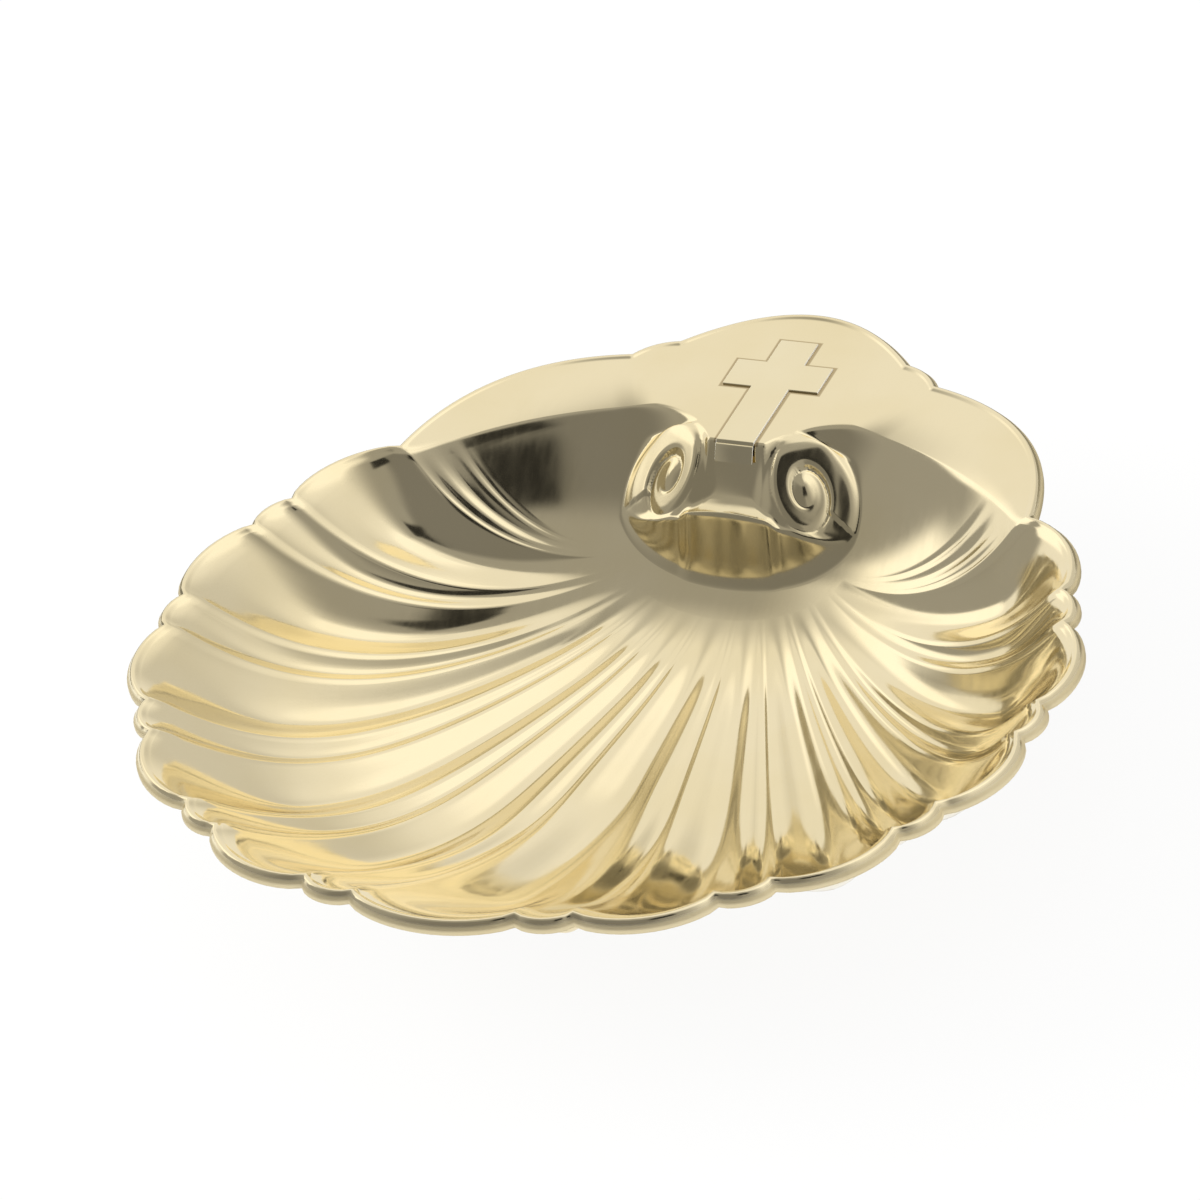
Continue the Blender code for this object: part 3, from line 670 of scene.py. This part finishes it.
# Ball feet: three brass balls, each turned with a short neck above and a flat below. They are soldered
# under the bowl, with a small fillet of solder where each neck meets the sheet, and plated with it.
FOOT_FLAT = 3.2
FOOT_NECK = 3.8
FOOT_LEAST_NECK = 0.1
FOOT_FILLET = 1.1
FILLET_STEPS = ((0.5, 1.10), (0.3, 1.14), (0.3, 1.22), (0.5, 1.12))
TOP_WITHIN = 0.05
TOP_LEVEL = 0.99
FOOT_GOLD = (0.90, 0.79, 0.53)
FOOT_WARM = (0.85, 0.72, 0.43)
FOOT_DULLNESS = 0.14
FOOT_RIPPLE = 0.02
foot_gold = polished_gold("foot_gold", FOOT_GOLD, FOOT_WARM, FOOT_DULLNESS, FOOT_RIPPLE * MM)
for node in ("ball_foot_front", "ball_foot_left", "ball_foot_right"):
    low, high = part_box(node)
    middle = (low + high) / 2
    radius = (high.x - low.x) / 2
    sunk = math.sqrt(radius ** 2 - (FOOT_FLAT * MM / 2) ** 2)
    bpy.ops.object.select_all(action="DESELECT")
    bpy.ops.mesh.primitive_uv_sphere_add(segments=48, ring_count=28, radius=radius, location=(0, 0, 0))
    foot = bpy.context.object
    foot.name = node.replace("ball_foot", "turned_foot")
    foot.location = (middle.x, middle.y, low.z + sunk)
    bpy.ops.object.transform_apply(location=True, rotation=True, scale=True)
    bpy.ops.object.mode_set(mode="EDIT")
    bpy.ops.mesh.select_all(action="SELECT")
    bpy.ops.mesh.bisect(
        plane_co=(middle.x, middle.y, low.z),
        plane_no=(0, 0, 1),
        use_fill=True,
        clear_inner=True,
        threshold=1e-7,
    )
    bpy.ops.mesh.select_all(action="SELECT")
    shoulder = low.z + sunk + math.sqrt(radius ** 2 - (FOOT_NECK * MM / 2) ** 2)
    bpy.ops.mesh.bisect(
        plane_co=(middle.x, middle.y, shoulder),
        plane_no=(0, 0, 1),
        use_fill=True,
        clear_outer=True,
        threshold=1e-7,
    )
    bpy.ops.mesh.select_mode(type="FACE")
    bpy.ops.mesh.select_all(action="DESELECT")
    for face in bmesh.from_edit_mesh(foot.data).faces:
        above = abs(face.calc_center_median().z - shoulder)
        face.select_set(face.normal.z > TOP_LEVEL and above < TOP_WITHIN * MM)
    neck = max(high.z - shoulder - FOOT_FILLET * MM, FOOT_LEAST_NECK * MM)
    bpy.ops.mesh.extrude_region_move(TRANSFORM_OT_translate={"value": (0, 0, neck)})
    for lift, flare in FILLET_STEPS:
        bpy.ops.mesh.extrude_region_move(TRANSFORM_OT_translate={"value": (0, 0, lift * FOOT_FILLET * MM)})
        bpy.ops.transform.resize(value=(flare, flare, 1.0), center_override=(middle.x, middle.y, high.z))
    bpy.ops.mesh.select_all(action="SELECT")
    bpy.ops.mesh.normals_make_consistent(inside=False)
    bpy.ops.object.mode_set(mode="OBJECT")
    bpy.ops.object.shade_smooth_by_angle(angle=math.radians(50))
    foot.data.materials.append(foot_gold)
    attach(foot, "root")
    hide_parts(node)


# Floor: a plain pale table top that runs out of view and keeps the dish's soft shadow. It shows nearly
# white to the camera and in the metal.
FLOOR_SIZE = 8.0
FLOOR_PALE = (0.9, 0.9, 0.89)
FLOOR_GLOW = 0.9


def show_blend(tree, output, share, first, second):
    """Two shaders mixed by a share of the second, sent to the named output."""
    both = tree.nodes.new("ShaderNodeMixShader")
    tree.links.new(share, both.inputs["Fac"])
    tree.links.new(first, both.inputs[1])
    tree.links.new(second, both.inputs[2])
    tree.links.new(both.outputs[0], tree.nodes[output].inputs["Surface"])


bpy.ops.object.select_all(action="DESELECT")
bpy.ops.mesh.primitive_plane_add(size=FLOOR_SIZE, location=(0.0, 0.0, 0.0))
floor = bpy.context.object
floor.name = "pale_table"
table = bpy.data.materials.new("pale_table")
table.use_nodes = True
tree = table.node_tree
matt = tree.nodes["Principled BSDF"]
matt.inputs["Base Color"].default_value = (*FLOOR_PALE, 1.0)
matt.inputs["Roughness"].default_value = 0.9
glow = tree.nodes.new("ShaderNodeEmission")
path = tree.nodes.new("ShaderNodeLightPath")
seen = reckon(tree, "MAXIMUM", path.outputs["Is Camera Ray"], path.outputs["Is Glossy Ray"])
share = reckon(tree, "MULTIPLY", seen, FLOOR_GLOW)
show_blend(tree, "Material Output", share, matt.outputs[0], glow.outputs[0])
floor.data.materials.append(table)


# Studio: white paper all round and one soft box to the left. Cards that show only in the metal stand for a
# dim wall on the viewer's side with a dark corner and the camera's gap, a grey ceiling, a bright window,
# and a low band and a glow at the back. A dark one lies on the table behind the dish.
PAPER = (0.91, 0.885, 0.84)
world = bpy.data.worlds.new("white_studio")
bpy.context.scene.world = world
world.use_nodes = True
tree = world.node_tree
white = tree.nodes["Background"]
white.inputs["Color"].default_value = (1.0, 1.0, 0.99, 1.0)
paper = tree.nodes.new("ShaderNodeBackground")
paper.inputs["Color"].default_value = (*PAPER, 1.0)
path = tree.nodes.new("ShaderNodeLightPath")
show_blend(tree, "World Output", path.outputs["Is Glossy Ray"], white.outputs[0], paper.outputs[0])


def show_in_metal_only(card):
    """Hide a card from the camera, the matt surfaces and the shadows."""
    card.visible_camera = False
    card.visible_diffuse = False
    card.visible_shadow = False


def studio_card(name, dome, compass, heights, grey, soft, again_cover=1.0):
    """A card on the studio's dome between compass angles, from the back towards the right, and heights.

    The soft edges, in degrees, are those at the first and last compass angle, below and above. A card that
    is thinner in second reflections says how much it covers there.
    """
    bpy.ops.object.select_all(action="DESELECT")
    bpy.ops.mesh.primitive_grid_add(x_subdivisions=24, y_subdivisions=24, size=1.0, calc_uvs=True)
    card = bpy.context.object
    card.name = name
    wide = compass[1] - compass[0]
    tall = heights[1] - heights[0]
    for vertex in card.data.vertices:
        angle = math.radians(compass[0] + wide * (vertex.co.x + 0.5))
        height = math.radians(heights[0] + tall * (vertex.co.y + 0.5))
        away = dome * math.cos(height)
        vertex.co = (away * math.sin(angle), away * math.cos(angle), dome * math.sin(height))
    material = bpy.data.materials.new(name)
    material.use_nodes = True
    tree = material.node_tree
    tree.nodes.remove(tree.nodes["Principled BSDF"])
    spread = tree.nodes.new("ShaderNodeUVMap")
    parts = tree.nodes.new("ShaderNodeSeparateXYZ")
    tree.links.new(spread.outputs["UV"], parts.inputs["Vector"])
    edges = (
        ("X", 0.0, soft[0] / wide),
        ("X", 1.0, 1.0 - soft[1] / wide),
        ("Y", 0.0, soft[2] / tall),
        ("Y", 1.0, 1.0 - soft[3] / tall),
    )
    cover = None
    for axis, outer, inner in edges:
        ease = tree.nodes.new("ShaderNodeMapRange")
        ease.interpolation_type = "SMOOTHSTEP"
        ease.inputs["From Min"].default_value = outer
        ease.inputs["From Max"].default_value = inner
        tree.links.new(parts.outputs[axis], ease.inputs["Value"])
        if cover is None:
            cover = ease.outputs["Result"]
            continue
        cover = reckon(tree, "MULTIPLY", cover, ease.outputs["Result"])
    path = tree.nodes.new("ShaderNodeLightPath")
    again = tree.nodes.new("ShaderNodeMapRange")
    again.inputs["From Min"].default_value = 1.0
    again.inputs["From Max"].default_value = 2.0
    again.inputs["To Min"].default_value = 1.0
    again.inputs["To Max"].default_value = again_cover
    tree.links.new(path.outputs["Glossy Depth"], again.inputs["Value"])
    cover = reckon(tree, "MULTIPLY", cover, again.outputs["Result"])
    shine = tree.nodes.new("ShaderNodeEmission")
    shine.inputs["Color"].default_value = (*(grey * tone for tone in PAPER), 1.0)
    clear = tree.nodes.new("ShaderNodeBsdfTransparent")
    show_blend(tree, "Material Output", cover, clear.outputs[0], shine.outputs[0])
    card.data.materials.append(material)
    show_in_metal_only(card)


studio_card("low_band", 1.75, (345.0, 472.0), (-4.0, 42.0), 0.72, (24.0, 20.0, 2.0, 24.0))
studio_card("back_glow", 1.72, (-14.0, 112.0), (40.0, 84.0), 1.25, (30.0, 20.0, 16.0, 10.0))
studio_card("dim_wall", 1.65, (92.0, 268.0), (-6.0, 74.0), 0.38, (46.0, 8.0, 3.0, 14.0))
studio_card("bright_window", 1.62, (255.0, 306.0), (17.0, 50.0), 1.35, (6.0, 14.0, 8.0, 12.0))
studio_card("grey_ceiling", 1.60, (110.0, 325.0), (46.0, 90.0), 0.40, (40.0, 40.0, 16.0, 1.0), 0.6)
studio_card("dark_corner", 1.55, (150.0, 240.0), (3.0, 66.0), 0.23, (12.0, 36.0, 4.0, 12.0))
studio_card("camera_gap", 1.50, (138.0, 166.0), (37.0, 62.0), 0.03, (4.0, 4.0, 5.0, 5.0))

TABLE_CARD_SIZE = 1.0
TABLE_CARD_PLACE = (-0.15, 0.53, 0.0005)
TABLE_CARD_DIM = (0.28, 0.26, 0.205)
bpy.ops.object.select_all(action="DESELECT")
bpy.ops.mesh.primitive_plane_add(size=TABLE_CARD_SIZE, location=TABLE_CARD_PLACE)
low_card = bpy.context.object
low_card.name = "table_card"
material = bpy.data.materials.new("table_card")
material.use_nodes = True
tree = material.node_tree
tree.nodes.remove(tree.nodes["Principled BSDF"])
shine = tree.nodes.new("ShaderNodeEmission")
shine.inputs["Color"].default_value = (*TABLE_CARD_DIM, 1.0)
tree.links.new(shine.outputs[0], tree.nodes["Material Output"].inputs["Surface"])
low_card.data.materials.append(material)
show_in_metal_only(low_card)

SOFT_BOX_PLACE = Vector((-1.02, -0.15, 0.62))
SOFT_BOX_AIM = Vector((0.0, 0.0, 0.02))
soft_box = bpy.data.lights.new("soft_box", "AREA")
soft_box.shape = "RECTANGLE"
soft_box.size = 0.7
soft_box.size_y = 0.55
soft_box.energy = 9.0
soft_box.color = (1.0, 0.99, 0.96)
lamp = bpy.data.objects.new("soft_box", soft_box)
bpy.context.scene.collection.objects.link(lamp)
lamp.location = SOFT_BOX_PLACE
lamp.rotation_euler = (SOFT_BOX_AIM - SOFT_BOX_PLACE).to_track_quat("-Z", "Y").to_euler()
lamp.visible_glossy = False


# Camera: a long lens, high and to the right of the front, turned a little so that the dish leans in its
# picture.
bpy.context.scene.view_settings.view_transform = "Standard"
CAMERA_AZIMUTH = math.radians(32.3)
CAMERA_HEIGHT = math.radians(36.1)
CAMERA_ROLL = math.radians(13.5)
CAMERA_AIM = Vector((0.0, -0.006, FLANGE_HEIGHT * MM))
CAMERA_DISTANCE = 1.1279
CAMERA_SHIFT_LEFT = 0.00142
CAMERA_SHIFT_UP = 0.00455
level = Vector((math.cos(CAMERA_AZIMUTH), math.sin(CAMERA_AZIMUTH), 0.0))
ahead = Vector((
    -math.sin(CAMERA_AZIMUTH) * math.cos(CAMERA_HEIGHT),
    math.cos(CAMERA_AZIMUTH) * math.cos(CAMERA_HEIGHT),
    -math.sin(CAMERA_HEIGHT),
))
upright = level.cross(ahead)
right = math.cos(CAMERA_ROLL) * level - math.sin(CAMERA_ROLL) * upright
up = math.sin(CAMERA_ROLL) * level + math.cos(CAMERA_ROLL) * upright
eye = CAMERA_AIM - right * CAMERA_SHIFT_LEFT + up * CAMERA_SHIFT_UP - ahead * CAMERA_DISTANCE
lens = bpy.data.cameras.new("camera")
lens.sensor_width = 36.0
lens.lens = 240.0
lens.clip_start = 0.05
lens.clip_end = 20.0
camera = bpy.data.objects.new("camera", lens)
bpy.context.scene.collection.objects.link(camera)
turned = Matrix((right, up, -ahead)).transposed().to_4x4()
turned.translation = eye
camera.matrix_world = turned
bpy.context.scene.camera = camera
